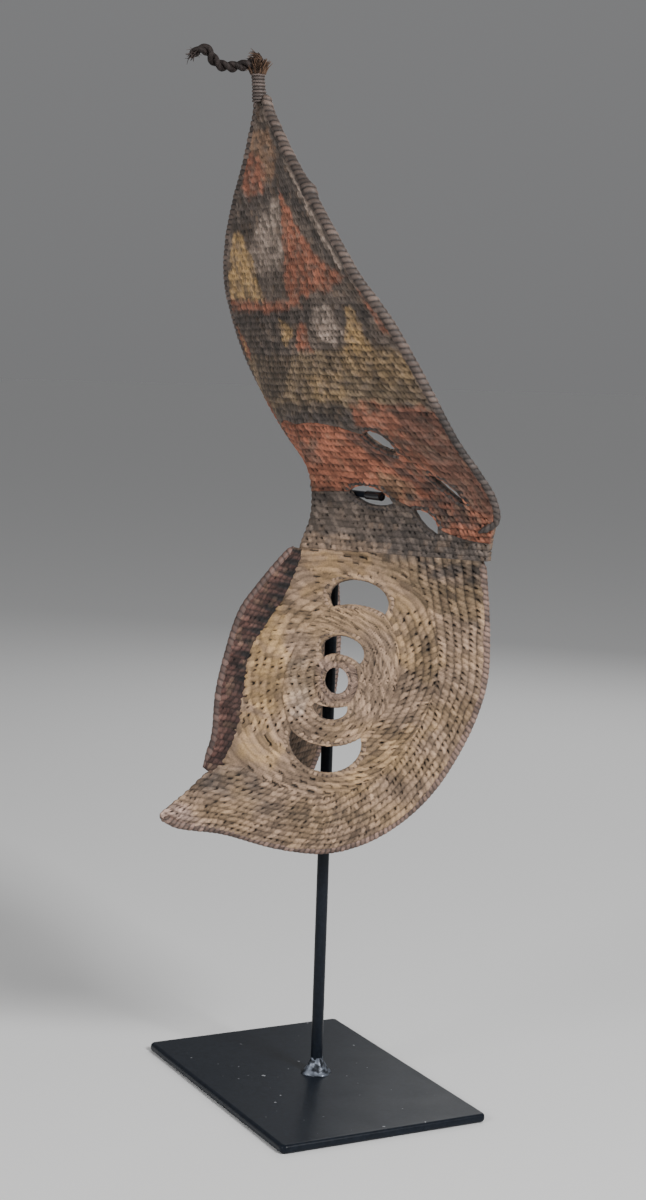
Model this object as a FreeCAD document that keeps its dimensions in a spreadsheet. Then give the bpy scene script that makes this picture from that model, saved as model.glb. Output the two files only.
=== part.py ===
import FreeCAD, Part
import math
import os
import Sketcher

# Woven fibre yam mask of the Sepik style, hooked on a welded steel display stand.
# +Z is up, the mask faces -Y and is mirrored about X = 0. The origin is on the underside of
# the base plate, straight below the rod. "Forward" means towards -Y. Millimetres throughout.

Vector = FreeCAD.Vector
doc = FreeCAD.newDocument("yam_mask")


# ---------------------------------------------------------------- driving dimensions
SIZES = {
    "plate_width": 215,
    "plate_depth": 150,
    "plate_thick": 6,
    "plate_side_shift": 6,
    "plate_back_shift": -7,
    "plate_corner": 4,
    "plate_edge_round": 2.4,
    "rod_dia": 8,
    "bar_dia": 4.4,
    "bar_height": 407,
    "bar_back": 3,
    "bar_crank": 18,
    "bar_reach": 47,
    "bar_end_back": 8.2,
    "bar_weld_dia": 12,
    "sleeve_dia": 6,
    "sleeve_cap": 1.2,
    "weld_dia": 21,
    "weld_rise": 11,
    "wall": 4,
    "seam_gap": 0.3,
    "slope_gap": 1.4,
    "face_seam": 370,
    "crest_rim_dia": 7,
    "jaw_rim_dia": 6,
    "keel_thick": 5,
    "keel_rim_dia": 5,
    "crest_top": 656,
    "binding_dia": 11,
    "binding_length": 20,
    "tuft_dia": 13,
    "tuft_length": 7,
    "cord_dia": 7,
}

sheet = doc.addObject("Spreadsheet::Sheet", "Sizes")
for row, (alias, value) in enumerate(SIZES.items(), start=1):
    sheet.set(f"A{row}", alias)
    sheet.set(f"B{row}", str(value))
    sheet.setAlias(f"B{row}", alias)
doc.recompute()


def size(alias):
    return float(sheet.get(alias))


def bind(item, **links):
    """Binds each property of item to an expression of the sheet's aliases."""
    for name, text in links.items():
        item.setExpression(name.replace("__", "."), text)


# ---------------------------------------------------------------- the mask's skin
# Each table is (height, value). A level section of the skin runs from the middle, MIDDLE
# forward, to the edges, EDGE forward and HALF_WIDTH out. FULLNESS 1 makes it a straight-sided
# wedge, and 2 makes it a round bow.
HALF_WIDTH = [
    (160, 78), (200, 90), (250, 100), (300, 105), (345, 107), (370, 108), (382, 111),
    (395, 117), (410, 121), (445, 120), (470, 119), (495, 116), (520, 108), (545, 93),
    (570, 76), (590, 60), (610, 40), (630, 24), (648, 10), (660, 5), (670, 3.5),
]
EDGE = [
    (160, -45), (200, -50), (250, -58), (300, -58), (345, -55), (395, -51), (410, -46),
    (425, -35), (440, -22), (460, -8), (480, 5), (500, 17), (520, 28), (545, 42), (570, 50),
    (600, 56), (640, 62), (668, 66),
]
MIDDLE = [
    (160, 121), (196, 122), (203, 113), (210, 103.5), (218, 94), (226, 84), (236, 76),
    (252, 70), (277, 66), (298, 63), (312, 56), (322, 49), (334, 40), (347, 33), (360, 28),
    (372, 25), (390, 18.5), (407, 18), (422, 21), (438, 27), (450, 31), (480, 37), (510, 42),
    (540, 45), (575, 49), (600, 53), (640, 62), (668, 66),
]
FULLNESS = [
    (160, 0.85), (195, 0.88), (220, 1.0), (250, 1.1), (300, 1.15), (345, 1.12), (380, 1.0),
    (420, 1.0), (445, 1.3), (470, 1.8), (500, 2.0), (668, 2.0),
]
# Seams between the panels, as (distance from the middle, height).
CREST_SEAM = [
    (0, 451), (20, 453), (40, 451), (60, 446), (75, 437), (90, 424), (105, 405), (122, 392),
]
BROW_SEAM = [
    (0, 407), (30, 409), (45, 408), (60, 404), (75, 396), (90, 387), (105, 383), (122, 381),
]
# The jaw line from the back of the cheek down and forward to the tip of the beak, as
# (forward, height).
JAW = [
    (-51, 369.5), (-55.5, 325), (-56.5, 289), (-48.5, 252), (-31, 214), (-7, 187.5),
    (20, 174.5), (50, 176), (85, 185.5), (111, 189), (121.5, 194),
]
# The nose keel as (forward, height): its front line from the top to the beak, and the line
# behind it from the beak back up, just inside the crease of the cheeks.
KEEL_LINE = [
    (30, 370), (41, 359), (54.5, 344), (66, 329), (73, 310.5), (81.5, 276), (84, 245), (91, 225),
]
KEEL_BACK = [(87, 222), (74, 226), (66, 252), (62, 277), (58, 298), (45, 322), (29, 347), (23, 368.5)]


def smooth(table, at):
    """The value at a place along a table, by a cubic with finite-difference slopes."""
    last = len(table) - 1
    first = max([k for k in range(last) if table[k][0] <= at], default=0)

    def slope(k):
        low, high = table[max(0, k - 1)], table[min(last, k + 1)]
        return (high[1] - low[1]) / (high[0] - low[0])

    (start, value), (end, next_value) = table[first], table[first + 1]
    step = end - start
    t = (at - start) / step
    if t < 0:
        return value + slope(first) * (at - start)
    if t > 1:
        return next_value + slope(first + 1) * (at - end)
    return (
        (2 * t**3 - 3 * t**2 + 1) * value
        + (t**3 - 2 * t**2 + t) * step * slope(first)
        + (3 * t**2 - 2 * t**3) * next_value
        + (t**3 - t**2) * step * slope(first + 1)
    )


def skin_front(x, z):
    """The outer skin's point at a distance x from the middle plane, at height z."""
    share = min(1.0, abs(x) / smooth(HALF_WIDTH, z)) ** smooth(FULLNESS, z)
    forward = smooth(MIDDLE, z) + (smooth(EDGE, z) - smooth(MIDDLE, z)) * share
    return Vector(x, -forward, z)


def skin_side(share, z):
    """The right cheek's outer point, a share of the way back from the crease to the edge."""
    forward = smooth(MIDDLE, z) + (smooth(EDGE, z) - smooth(MIDDLE, z)) * share
    out = smooth(HALF_WIDTH, z) * share ** (1 / smooth(FULLNESS, z))
    return Vector(out, -forward, z)


def cheek_out(forward, z):
    """How far the right cheek's outer skin is from the middle plane."""
    share = (smooth(MIDDLE, z) - forward) / (smooth(MIDDLE, z) - smooth(EDGE, z))
    return skin_side(max(0.0, share), z).x


def thick_sheet(grid, wall):
    """A closed solid between a grid of points and the same grid moved inwards by wall."""
    rows, columns = len(grid), len(grid[0])
    inner = []
    for j in range(rows):
        line = []
        for i in range(columns):
            across = grid[j][min(columns - 1, i + 1)] - grid[j][max(0, i - 1)]
            along = grid[min(rows - 1, j + 1)][i] - grid[max(0, j - 1)][i]
            normal = across.cross(along).normalize()
            line.append(grid[j][i] - normal * wall)
        inner.append(line)
    outside, inside = Part.BSplineSurface(), Part.BSplineSurface()
    outside.interpolate(grid)
    inside.interpolate(inner)
    low_u, high_u, low_v, high_v = outside.bounds()
    faces = [outside.toShape(), inside.toShape()]
    for pair in (
        (outside.uIso(low_u), inside.uIso(low_u)),
        (outside.uIso(high_u), inside.uIso(high_u)),
        (outside.vIso(low_v), inside.vIso(low_v)),
        (outside.vIso(high_v), inside.vIso(high_v)),
    ):
        faces.append(Part.makeRuledSurface(pair[0].toShape(), pair[1].toShape()))
    solid = Part.makeSolid(Part.makeShell(faces))
    if solid.Volume < 0:
        solid.reverse()
    return solid


def band(low_line, high_line, rows, columns):
    """A panel across the middle plane, between two seam lines."""
    grid = []
    for j in range(rows + 1):
        line = []
        for i in range(columns + 1):
            share = -1 + 2 * i / columns
            seam_x = abs(share) * smooth(HALF_WIDTH, 400)
            low, high = low_line(seam_x), high_line(seam_x)
            z = low + (high - low) * j / rows
            line.append(skin_front(share * smooth(HALF_WIDTH, z), z))
        grid.append(line)
    return thick_sheet(grid, size("wall"))


def seam(table, shift):
    return lambda x: smooth(table, x) + shift


def crescent(tip_a, tip_b, outer, inner, plane):
    """A flat face between two arcs that share their tips; plane turns a pair into a point."""
    a, b = plane(tip_a), plane(tip_b)
    arcs = [Part.Arc(a, plane(outer), b).toShape(), Part.Arc(b, plane(inner), a).toShape()]
    return Part.Face(Part.Wire(arcs))


def through_front(pair):
    """A point of the plane well in front of the mask, from (x, height)."""
    return Vector(pair[0], -200, pair[1])


def through_side(pair):
    """A point of the middle plane, from (forward, height)."""
    return Vector(0, -pair[0], pair[1])


def mirrored(shape):
    return shape.mirror(Vector(0, 0, 0), Vector(1, 0, 0))


def tube(points, diameter):
    """A round coil lofted through rings along a smooth line through points."""
    line = Part.BSplineCurve()
    line.interpolate(points)
    rings, count = [], 2 * len(points)
    for k in range(count + 1):
        at = line.FirstParameter + (line.LastParameter - line.FirstParameter) * k / count
        heading = line.tangent(at)[0]
        ring = Part.Circle(line.value(at), heading, diameter / 2)
        ring.XAxis = Vector(1, 0, 0).cross(heading)
        rings.append(Part.Wire([ring.toShape()]))
    return Part.makeLoft(rings, True, True)


# ---------------------------------------------------------------- document objects
sub_parts = []


def keep(item, label):
    item.Label = label
    sub_parts.append(item)
    return item


def shaped(label, shape):
    """A sub-part whose skin is curved both ways."""
    item = doc.addObject("Part::Feature", label)
    item.Shape = shape
    item.Placement = FreeCAD.Placement()
    return keep(item, label)


def origin_plane(body, role):
    return next(o for o in body.Origin.OriginFeatures if o.Role == role)


def new_sketch(body, name, role):
    sketch = body.newObject("Sketcher::SketchObject", name)
    sketch.AttachmentSupport = [(origin_plane(body, role), "")]
    sketch.MapMode = "FlatFace"
    return sketch


def make_base_plate():
    body = doc.addObject("PartDesign::Body", "base_plate")
    sketch = new_sketch(body, "plate_outline", "XY_Plane")
    corners = [Vector(-50, -50, 0), Vector(50, -50, 0), Vector(50, 50, 0), Vector(-50, 50, 0)]
    for start, end in zip(corners, corners[1:] + corners[:1]):
        sketch.addGeometry(Part.LineSegment(start, end), False)
    for k in range(4):
        sketch.addConstraint(Sketcher.Constraint("Coincident", k, 2, (k + 1) % 4, 1))
    for k, kind in enumerate(("Horizontal", "Vertical", "Horizontal", "Vertical")):
        sketch.addConstraint(Sketcher.Constraint(kind, k))
    links = (
        ("DistanceX", 0, 1, 0, 2, "plate_width", "Sizes.plate_width"),
        ("DistanceY", 1, 1, 1, 2, "plate_depth", "Sizes.plate_depth"),
        ("DistanceX", -1, 1, 0, 2, "right_edge", "Sizes.plate_width / 2 + Sizes.plate_side_shift"),
        ("DistanceY", -1, 1, 1, 2, "back_edge", "Sizes.plate_depth / 2 + Sizes.plate_back_shift"),
    )
    for kind, first, first_end, second, second_end, name, text in links:
        at = sketch.addConstraint(
            Sketcher.Constraint(kind, first, first_end, second, second_end, 50.0)
        )
        sketch.renameConstraint(at, name)
        sketch.setExpression(f"Constraints.{name}", text)
    pad = body.newObject("PartDesign::Pad", "plate_pad")
    pad.Profile = sketch
    pad.setExpression("Length", "Sizes.plate_thick")
    doc.recompute()
    upright = [
        f"Edge{k}"
        for k, edge in enumerate(pad.Shape.Edges, start=1)
        if abs(edge.BoundBox.ZLength - size("plate_thick")) < 0.01
    ]
    corner = body.newObject("PartDesign::Fillet", "plate_corners")
    corner.Base = (pad, upright)
    corner.setExpression("Radius", "Sizes.plate_corner")
    doc.recompute()
    level = [
        f"Edge{k}"
        for k, edge in enumerate(corner.Shape.Edges, start=1)
        if edge.BoundBox.ZLength < 0.01
    ]
    edge_round = body.newObject("PartDesign::Fillet", "plate_edges")
    edge_round.Base = (corner, level)
    edge_round.setExpression("Radius", "Sizes.plate_edge_round")
    body.Tip = edge_round
    return keep(body, "base_plate")


def make_stand_rod():
    body = doc.addObject("PartDesign::Body", "stand_rod")
    sketch = new_sketch(body, "rod_section", "XY_Plane")
    sketch.addGeometry(Part.Circle(Vector(0, 0, 0), Vector(0, 0, 1), 4), False)
    sketch.addConstraint(Sketcher.Constraint("Coincident", 0, 3, -1, 1))
    sketch.addConstraint(Sketcher.Constraint("Diameter", 0, 8.0))
    sketch.renameConstraint(1, "rod_dia")
    sketch.setExpression("Constraints.rod_dia", "Sizes.rod_dia")
    pad = body.newObject("PartDesign::Pad", "rod_pad")
    pad.Profile = sketch
    bind(pad, Length="Sizes.bar_height - Sizes.bar_dia / 2 - Sizes.plate_thick")
    bind(body, Placement__Base__z="Sizes.plate_thick")
    return keep(body, "stand_rod")


def make_foot_weld():
    """The fillet of weld metal round the rod's foot."""
    cone = doc.addObject("Part::Cone", "weld_cone")
    bind(
        cone,
        Radius1="Sizes.weld_dia / 2",
        Radius2="Sizes.rod_dia / 2 + 0.4",
        Height="Sizes.weld_rise",
        Placement__Base__z="Sizes.plate_thick",
    )
    hole = doc.addObject("Part::Cylinder", "weld_hole")
    bind(hole, Radius="Sizes.rod_dia / 2", Height="Sizes.bar_height / 2")
    cut = doc.addObject("Part::Cut", "foot_weld")
    cut.Base, cut.Tool = cone, hole
    return keep(cut, "foot_weld")


def bar_path():
    """The support bar's line: level, swept back on both sides to follow the brow."""
    high, back = size("bar_height"), size("bar_back")
    crank, reach, end_back = size("bar_crank"), size("bar_reach"), size("bar_end_back")
    corners = [(-reach, end_back), (-crank, back), (crank, back), (reach, end_back)]
    return [Vector(x, y, high) for x, y in corners]


def rounded_wire(points, radii):
    """Straight runs joined by tangent arcs, one radius for each inner point."""
    edges, start = [], points[0]
    for k, radius in enumerate(radii, start=1):
        before = (points[k - 1] - points[k]).normalize()
        after = (points[k + 1] - points[k]).normalize()
        half_turn = (math.pi - before.getAngle(after)) / 2
        reach = radius * math.tan(half_turn)
        middle = (before + after).normalize()
        deep = radius / math.cos(half_turn) - radius
        arc = [points[k] + before * reach, points[k] + middle * deep, points[k] + after * reach]
        edges.append(Part.LineSegment(start, arc[0]).toShape())
        edges.append(Part.Arc(*arc).toShape())
        start = arc[2]
    edges.append(Part.LineSegment(start, points[-1]).toShape())
    return Part.Wire(edges)


def swept(wire, diameter):
    """A round tube along a wire of straight runs and arcs."""
    start = wire.OrderedEdges[0]
    heading = start.tangentAt(start.FirstParameter)
    ring = Part.Circle(start.valueAt(start.FirstParameter), heading, diameter / 2)
    return wire.makePipeShell([Part.Wire([ring.toShape()])], True, False)


# The radius of the bar's two bends, and the share of its end run that is left bare.
BAR_BEND = 60
BARE_SHARE = 0.55


def make_support_bar():
    wire = rounded_wire(bar_path(), [BAR_BEND, BAR_BEND])
    return shaped("support_bar", swept(wire, size("bar_dia")))


def make_bar_weld():
    """The blob of weld that joins the bar to the rod's top."""
    ball = Part.makeSphere(size("bar_weld_dia") / 2, Vector(0, 1, size("bar_height") - 1))
    rod = Part.makeCylinder(size("rod_dia") / 2, size("bar_height") - size("bar_dia") / 2)
    low_end = Vector(-size("bar_crank"), size("bar_back"), size("bar_height"))
    bar = Part.makeCylinder(size("bar_dia") / 2, 2 * size("bar_crank"), low_end, Vector(1, 0, 0))
    return shaped("bar_weld", ball.cut(rod).cut(bar))


def make_sleeve(side, name):
    """A glossy sleeve pushed over one end of the bar, closed at its tip."""
    bend, tip = bar_path()[2:]
    heading = (tip - bend).normalize()
    start = bend + (tip - bend) * BARE_SHARE
    long = (tip - start).Length + size("sleeve_cap")
    outer = Part.makeCylinder(size("sleeve_dia") / 2, long, start, heading)
    hole = Part.makeCylinder(size("bar_dia") / 2, (tip - start).Length, start, heading)
    sleeve = outer.cut(hole)
    return shaped(name, sleeve if side > 0 else mirrored(sleeve))


# ---------------------------------------------------------------- openings
# Crescents in the brow, each (tip, tip, upper arc's middle, lower arc's middle) as
# (distance from the middle, height). The third one takes the support bar's end.
BROW_SLITS = [
    ((58, 447), (75, 435.5), (70, 448.5), (64, 439.5)),
    ((87, 424), (103, 405), (97.5, 417.5), (93.5, 413.5)),
    ((25, 408.5), (55, 403), (40, 413), (38, 401)),
    ((67, 399.5), (80.5, 384), (78, 397), (73, 389.5)),
]
# The eye is drawn in the middle plane, as (forward, height), and cut straight sideways.
EYE_CENTRE = (18.4, 286.5)
EYE_RING = (11.3, 17.9)
EYE_HOLE = (6.2, 9)
RING_GAPS = [
    ((25, 301), (7, 298), (12.5, 316), (16.5, 303.5)),
    ((29.5, 271.5), (12, 270.5), (20.5, 260), (19, 269)),
]
SURROUND_CORNERS = [(16, 333.5), (-8, 331), (4.5, 250), (41, 252)]
SURROUND_MIDDLES = [(4, 336), (-13, 290), (23.5, 243), (43, 295)]
SURROUND_GAPS = [
    ((16, 333.5), (-8, 331), (0.5, 352), (4, 336)),
    ((41, 252), (4.5, 250), (26, 226), (23.5, 243)),
]


def ellipse(half_sizes):
    """An upright ellipse round the eye's centre; its longer half size is the height."""
    middle = through_side(EYE_CENTRE)
    top = middle + Vector(0, 0, half_sizes[1])
    side = middle + Vector(0, half_sizes[0], 0)
    return Part.Face(Part.Wire([Part.Ellipse(top, side, middle).toShape()]))


def surround_face():
    """The oval of coils round the eye, between its upper and lower crescents."""
    corners = [through_side(p) for p in SURROUND_CORNERS]
    middles = [through_side(p) for p in SURROUND_MIDDLES]
    arcs = [
        Part.Arc(corners[k], middles[k], corners[(k + 1) % 4]).toShape() for k in range(4)
    ]
    return Part.Face(Part.Wire(arcs))


def cheek_face():
    """The cheek's side outline: the jaw line, and clear of the crease elsewhere."""
    jaw = Part.BSplineCurve()
    jaw.interpolate([through_side(p) for p in JAW])
    past_beak = 130
    first, last = through_side(JAW[0]), through_side(JAW[-1])
    front_low = through_side((past_beak, JAW[-1][1] + 4))
    front_high = through_side((past_beak, JAW[0][1]))
    corners = [last, front_low, front_high, first]
    edges = [jaw.toShape()]
    for start, end in zip(corners, corners[1:]):
        edges.append(Part.LineSegment(start, end).toShape())
    return Part.Face(Part.Wire(edges))


def sideways(face):
    """A flat face of the middle plane, pushed out to the right as a prism."""
    return face.extrude(Vector(160, 0, 0))


def cheek_sheet():
    """The whole right cheek as one thick sheet, from the crease to past the jaw line."""
    rows, columns = 24, 16
    low, high, past = 166, 378, 1.06
    grid = []
    for j in range(rows + 1):
        z = low + (high - low) * j / rows
        grid.append([skin_side(past * (i / columns) ** 1.3, z) for i in range(columns + 1)])
    right_half = Part.makeBox(200, 400, 400, Vector(size("seam_gap") / 2, -200, 100))
    return thick_sheet(grid, size("wall")).common(right_half)


def front_prism(slit):
    """A crescent slit of the brow, both sides of the mask, as a cutter along Y."""
    tip_a, tip_b, outer, inner = slit
    right = crescent(tip_a, tip_b, outer, inner, through_front).extrude(Vector(0, 400, 0))
    return [right, mirrored(right)]


# ---------------------------------------------------------------- mask pieces
def crest_edge_points():
    """The middle of the crest's right rim, from under the ear up to the binding."""
    half_wall = size("wall") / 2
    points = [Vector(110, 47 - half_wall, 388.5)]
    heights = [396, 410, 425, 445, 470, 495, 520, 545, 570, 595, 620, 640, 650]
    for z in heights + [size("crest_top") + 4]:
        points.append(Vector(smooth(HALF_WIDTH, z), half_wall - smooth(EDGE, z), z))
    return points


def jaw_points():
    """The middle of the right jaw rim, along the cheek's cut edge."""
    points = []
    inset = size("wall") / 2
    least = size("jaw_rim_dia") / 2 + size("seam_gap") / 2
    for forward, z in JAW:
        out = math.hypot(max(0.0, cheek_out(forward, z) - inset), least)
        points.append(Vector(out, inset - forward, z))
    return points


def make_front_panels():
    wall, gap = size("wall"), size("seam_gap")
    top, face_seam, slope_gap = size("crest_top"), size("face_seam"), size("slope_gap")
    panels = {
        "crest_panel": band(seam(CREST_SEAM, gap), lambda x: top, 24, 24),
        "forehead_band": band(seam(BROW_SEAM, gap), seam(CREST_SEAM, 0), 8, 24),
        "neck_band": band(lambda x: face_seam + slope_gap, seam(BROW_SEAM, 0), 8, 24),
    }
    cutters = [prism for slit in BROW_SLITS for prism in front_prism(slit)]
    for name, panel in panels.items():
        shaped(name, panel.cut(cutters))


def largest(shape):
    """The biggest solid of a cut, without slivers."""
    return max(shape.Solids, key=lambda solid: solid.Volume)


def make_both(name, shape):
    shaped(name + "_right", shape)
    shaped(name + "_left", mirrored(shape))


def keel_solid():
    """The flat flap that stands forward of the crease, down the middle of the face."""
    half = size("keel_thick") / 2
    front = Part.BSplineCurve()
    front.interpolate([Vector(-half, -f, z) for f, z in KEEL_LINE])
    corners = [Vector(-half, -f, z) for f, z in KEEL_BACK]
    edges = [front.toShape()]
    runs = [front.EndPoint] + corners + [front.StartPoint]
    for start, end in zip(runs, runs[1:]):
        edges.append(Part.LineSegment(start, end).toShape())
    return Part.Face(Part.Wire(edges)).extrude(Vector(2 * half, 0, 0))


def make_mask():
    make_both("crest_rim", tube(crest_edge_points(), size("crest_rim_dia")))
    make_both("jaw_rim", tube(jaw_points(), size("jaw_rim_dia")))
    make_front_panels()
    keel_line = [Vector(0, -f, z) for f, z in KEEL_LINE]
    shaped("keel_rim", tube(keel_line, size("keel_rim_dia")))
    keel = shaped("nose_keel", keel_solid())
    sheet_right = cheek_sheet().cut(keel.Shape)
    surround = surround_face()
    outer_gaps = [crescent(*gap, through_side) for gap in SURROUND_GAPS]
    inner_gaps = [crescent(*gap, through_side) for gap in RING_GAPS]
    ring = ellipse(EYE_RING)
    cheek = cheek_face().cut([surround] + outer_gaps)
    surround_ring = surround.cut([ring] + inner_gaps)
    eye_ring = ring.cut([ellipse(EYE_HOLE)])
    for name, face in (
        ("cheek", cheek),
        ("eye_surround", surround_ring),
        ("eye_ring", eye_ring),
    ):
        make_both(name, largest(sheet_right.common(sideways(face))))


def make_tip():
    """The thread binding that gathers the crest's tip, the tuft on it, and the twisted cord."""
    low = Vector(0, -smooth(MIDDLE, size("crest_top")), size("crest_top") + size("seam_gap"))
    heading = Vector(0, -0.1, 1).normalize()
    binding = Part.makeCylinder(size("binding_dia") / 2, size("binding_length"), low, heading)
    top = low + heading * size("binding_length")
    tuft = Part.makeCone(
        size("binding_dia") / 2 - 0.5, size("tuft_dia") / 2, size("tuft_length"), top, heading
    )
    shaped("tip_binding", binding)
    shaped("tip_tuft", tuft)
    shaped("crest_cord", largest(make_cord().cut(binding).cut(tuft)))


# The twisted cord's route from the binding, forward and up to its frayed end.
CORD_ROUTE = [
    (0, -66.5, 681), (0, -74, 678.5), (0, -82, 676.4), (0, -90, 675.8), (0, -96.5, 677.5),
    (0, -101, 685.2), (0, -107, 685.4), (0, -112, 681.5),
]


def cord_radii(points):
    """The widest round, a little short of touching its neighbours, at each inner point."""
    radii = []
    for before, here, after in zip(points, points[1:], points[2:]):
        turn = math.pi - (before - here).getAngle(after - here)
        shorter = min((before - here).Length, (after - here).Length)
        radii.append(0.45 * shorter / math.tan(turn / 2))
    return radii


def make_cord():
    points = [Vector(*p) for p in CORD_ROUTE]
    wire = rounded_wire(points, cord_radii(points))
    print("cord length", round(wire.Length, 1))
    return swept(wire, size("cord_dia"))


# ---------------------------------------------------------------- build and write
make_base_plate()
make_stand_rod()
make_foot_weld()
make_support_bar()
make_bar_weld()
make_sleeve(1, "bar_sleeve_right")
make_sleeve(-1, "bar_sleeve_left")
make_mask()
make_tip()
doc.recompute()

for item in doc.Objects:
    if "Invalid" in item.State or "Error" in item.State:
        raise RuntimeError(f"{item.Label} did not build: {item.State}")
for item in sub_parts:
    if item.Shape.isNull() or not item.Shape.isValid():
        raise RuntimeError(f"{item.Label} has no valid shape")

os.makedirs("parts", exist_ok=True)
for item in sub_parts:
    item.Shape.exportStep(f"parts/{item.Label}.step")
    print(f"{item.Label:20s} {len(item.Shape.Solids)} solid {item.Shape.Volume:10.0f} mm3")
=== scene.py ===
import math

import bpy
import numpy as np
from mathutils import Matrix, Vector


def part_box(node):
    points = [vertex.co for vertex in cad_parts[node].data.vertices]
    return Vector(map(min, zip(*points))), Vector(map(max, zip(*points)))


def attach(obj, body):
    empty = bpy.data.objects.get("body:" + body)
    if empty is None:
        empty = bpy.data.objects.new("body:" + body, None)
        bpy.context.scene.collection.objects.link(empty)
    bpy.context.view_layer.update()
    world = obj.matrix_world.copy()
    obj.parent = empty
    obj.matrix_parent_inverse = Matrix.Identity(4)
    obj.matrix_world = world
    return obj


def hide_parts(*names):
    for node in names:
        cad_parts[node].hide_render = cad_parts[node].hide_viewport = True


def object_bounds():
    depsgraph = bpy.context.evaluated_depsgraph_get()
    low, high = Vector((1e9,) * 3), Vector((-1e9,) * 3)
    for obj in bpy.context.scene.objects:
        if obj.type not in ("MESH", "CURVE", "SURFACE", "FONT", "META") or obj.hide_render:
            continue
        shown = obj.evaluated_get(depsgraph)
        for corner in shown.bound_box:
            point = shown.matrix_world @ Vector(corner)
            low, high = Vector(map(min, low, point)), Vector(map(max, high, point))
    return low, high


# The looks of a woven fibre yam mask on its steel stand. Lengths in the tables are millimetres,
# as in part.py, and become metres where a mesh is made. "Forward" means towards -Y.
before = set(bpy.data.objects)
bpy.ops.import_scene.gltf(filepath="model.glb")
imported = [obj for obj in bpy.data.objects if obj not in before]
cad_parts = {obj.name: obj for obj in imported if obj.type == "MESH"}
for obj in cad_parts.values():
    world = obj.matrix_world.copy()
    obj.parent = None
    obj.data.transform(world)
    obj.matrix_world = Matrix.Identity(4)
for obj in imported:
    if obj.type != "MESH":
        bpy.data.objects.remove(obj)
cad_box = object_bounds()
MM = 0.001


# ---- camera
def make_camera():
    turn, dip, roll = math.radians(62.46), math.radians(6.64), math.radians(1.91)
    ahead = np.array([
        -math.sin(turn) * math.cos(dip), math.cos(turn) * math.cos(dip), -math.sin(dip),
    ])
    level = np.cross(ahead, (0, 0, 1))
    level /= np.linalg.norm(level)
    upright = np.cross(level, ahead)
    right = math.cos(roll) * level + math.sin(roll) * upright
    up = -math.sin(roll) * level + math.cos(roll) * upright
    data = bpy.data.cameras.new("camera")
    data.lens, data.sensor_width, data.clip_end = 62.55, 36, 50
    camera = bpy.data.objects.new("camera", data)
    bpy.context.scene.collection.objects.link(camera)
    turned = Matrix(np.stack([right, up, -ahead], axis=1).tolist()).to_4x4()
    turned.translation = (1.230, -0.6482, 0.4955)
    camera.matrix_world = turned
    bpy.context.scene.camera = camera


make_camera()


# ---- random fields
def hashed(seed, *cells):
    """A repeatable number from 0 to 1 for each set of whole-number cells."""
    mask = np.uint64(0xFFFFFFFF)
    total = np.uint64(seed * 7919 + 12345)
    for factor, cell in zip((374761393, 668265263, 2246822519), cells):
        whole = np.asarray(cell).astype(np.int64).astype(np.uint64) & mask
        total = ((total ^ whole) * np.uint64(factor)) & mask
        total = ((total ^ (total >> np.uint64(15))) * np.uint64(3266489917)) & mask
        total = total ^ (total >> np.uint64(13))
    return total.astype(float) / 0xFFFFFFFF


def ramp(value, low, high):
    """0 below low, 1 above high, and a smooth rise between them."""
    t = np.clip((value - low) / (high - low), 0, 1)
    return t * t * (3 - 2 * t)


def blotches(seed, u, v, scale, layers=2):
    """Smooth noise from 0 to 1 over (u, v)."""
    total, weight = 0.0, 0.0
    for layer in range(layers):
        share = 0.5**layer
        a, b = u / scale / share, v / scale / share
        i, j = np.floor(a), np.floor(b)
        s, t = ramp(a - i, 0, 1), ramp(b - j, 0, 1)
        low = hashed(seed + layer, i, j) * (1 - s) + hashed(seed + layer, i + 1, j) * s
        high = hashed(seed + layer, i, j + 1) * (1 - s) + hashed(seed + layer, i + 1, j + 1) * s
        total += share * (low * (1 - t) + high * t)
        weight += share
    return total / weight


# ---- the mask's skin
# A level section of the skin runs from the middle, MIDDLE forward, to the edges, EDGE forward
# and HALF_WIDTH out. FULLNESS 1 makes it a straight-sided wedge, and 2 a round bow.
HALF_WIDTH = [
    (160, 78), (200, 90), (250, 100), (300, 105), (345, 107), (370, 108), (382, 111),
    (395, 117), (410, 121), (445, 120), (470, 119), (495, 116), (520, 108), (545, 93),
    (570, 76), (590, 60), (610, 40), (630, 24), (648, 10), (660, 5), (670, 3.5),
]
EDGE = [
    (160, -45), (200, -50), (250, -58), (300, -58), (345, -55), (395, -51), (410, -46),
    (425, -35), (440, -22), (460, -8), (480, 5), (500, 17), (520, 28), (545, 42), (570, 50),
    (600, 56), (640, 62), (668, 66),
]
MIDDLE = [
    (160, 121), (196, 122), (203, 113), (210, 103.5), (218, 94), (226, 84), (236, 76),
    (252, 70), (277, 66), (298, 63), (312, 56), (322, 49), (334, 40), (347, 33), (360, 28),
    (372, 25), (390, 18.5), (407, 18), (422, 21), (438, 27), (450, 31), (480, 37), (510, 42),
    (540, 45), (575, 49), (600, 53), (640, 62), (668, 66),
]
FULLNESS = [
    (160, 0.85), (195, 0.88), (220, 1.0), (250, 1.1), (300, 1.15), (345, 1.12), (380, 1.0),
    (420, 1.0), (445, 1.3), (470, 1.8), (500, 2.0), (668, 2.0),
]
CREST_SEAM = [
    (0, 451), (20, 453), (40, 451), (60, 446), (75, 437), (90, 424), (105, 405), (122, 392),
]
BROW_SEAM = [
    (0, 407), (30, 409), (45, 408), (60, 404), (75, 396), (90, 387), (105, 383), (122, 381),
]
JAW = [
    (-51, 369.5), (-55.5, 325), (-56.5, 289), (-48.5, 252), (-31, 214), (-7, 187.5),
    (20, 174.5), (50, 176), (85, 185.5), (111, 189), (121.5, 194),
]
KEEL_LINE = [
    (30, 370), (41, 359), (54.5, 344), (66, 329), (73, 310.5), (81.5, 276), (84, 245), (91, 225),
]
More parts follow.
